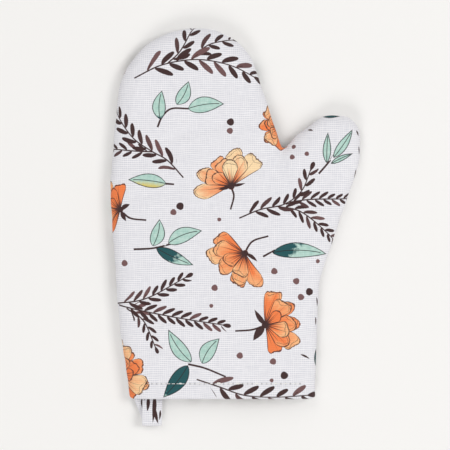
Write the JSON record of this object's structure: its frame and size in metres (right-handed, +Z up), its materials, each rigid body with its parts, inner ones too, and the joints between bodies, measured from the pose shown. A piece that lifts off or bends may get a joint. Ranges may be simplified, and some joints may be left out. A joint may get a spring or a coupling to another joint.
{
  "type": "oven mitt",
  "caption": "Padded cloth oven mitt lying flat, with one thumb, a hemmed cuff and a short hanging loop; fingers, thumb and loop bend.",
  "frame": {"origin": "middle of the whole mitt's box in X and Y, on the face it lies on", "axes": "+Y from the cuff to the fingertips, +X towards the thumb, +Z up out of the face it lies on"},
  "size_m": [0.188, 0.3004, 0.018],
  "materials": {
    "printed_cotton": "matte",
    "polyester_wadding": "matte",
    "plain_lining": "matte",
    "sewing_thread": "satin"
  },
  "bodies": {
    "palm": {"front_cover_palm": "printed_cotton", "back_cover_palm": "printed_cotton", "front_wadding_palm": "polyester_wadding", "back_wadding_palm": "polyester_wadding", "front_lining_palm": "plain_lining", "back_lining_palm": "plain_lining", "seam_thread_left": "sewing_thread", "seam_thread_crotch": "sewing_thread", "seam_thread_right": "sewing_thread", "hem_thread_front": "sewing_thread", "hem_thread_back": "sewing_thread", "loop_tail": "printed_cotton", "loop_bartack": "sewing_thread"},
    "fingers": {"front_cover_fingers": "printed_cotton", "back_cover_fingers": "printed_cotton", "front_wadding_fingers": "polyester_wadding", "back_wadding_fingers": "polyester_wadding", "front_lining_fingers": "plain_lining", "back_lining_fingers": "plain_lining", "seam_thread_fingers": "sewing_thread"},
    "thumb": {"front_cover_thumb": "printed_cotton", "back_cover_thumb": "printed_cotton", "front_wadding_thumb": "polyester_wadding", "back_wadding_thumb": "polyester_wadding", "front_lining_thumb": "plain_lining", "back_lining_thumb": "plain_lining", "seam_thread_thumb": "sewing_thread"},
    "loop": {"hanging_loop": "printed_cotton"}
  },
  "joints": [
    {"name": "finger_flex", "type": "hinge", "parent": "palm", "child": "fingers", "pos_m": [-0.02914, 0.07636, 0.009], "axis": [1, 0, 0], "range_deg": [-45, 45], "stiffness_Nm_per_rad": 0.12},
    {"name": "thumb_flex", "type": "hinge", "parent": "palm", "child": "thumb", "pos_m": [0.0664, 0.03064, 0.009], "axis": [0.4579, -0.889, 0], "range_deg": [-40, 40], "stiffness_Nm_per_rad": 0.05},
    {"name": "loop_swing", "type": "hinge", "parent": "palm", "child": "loop", "pos_m": [-0.06304, -0.13164, 0.00665], "axis": [1, 0, 0], "range_deg": [-75, 75], "stiffness_Nm_per_rad": 0.001}
  ]
}
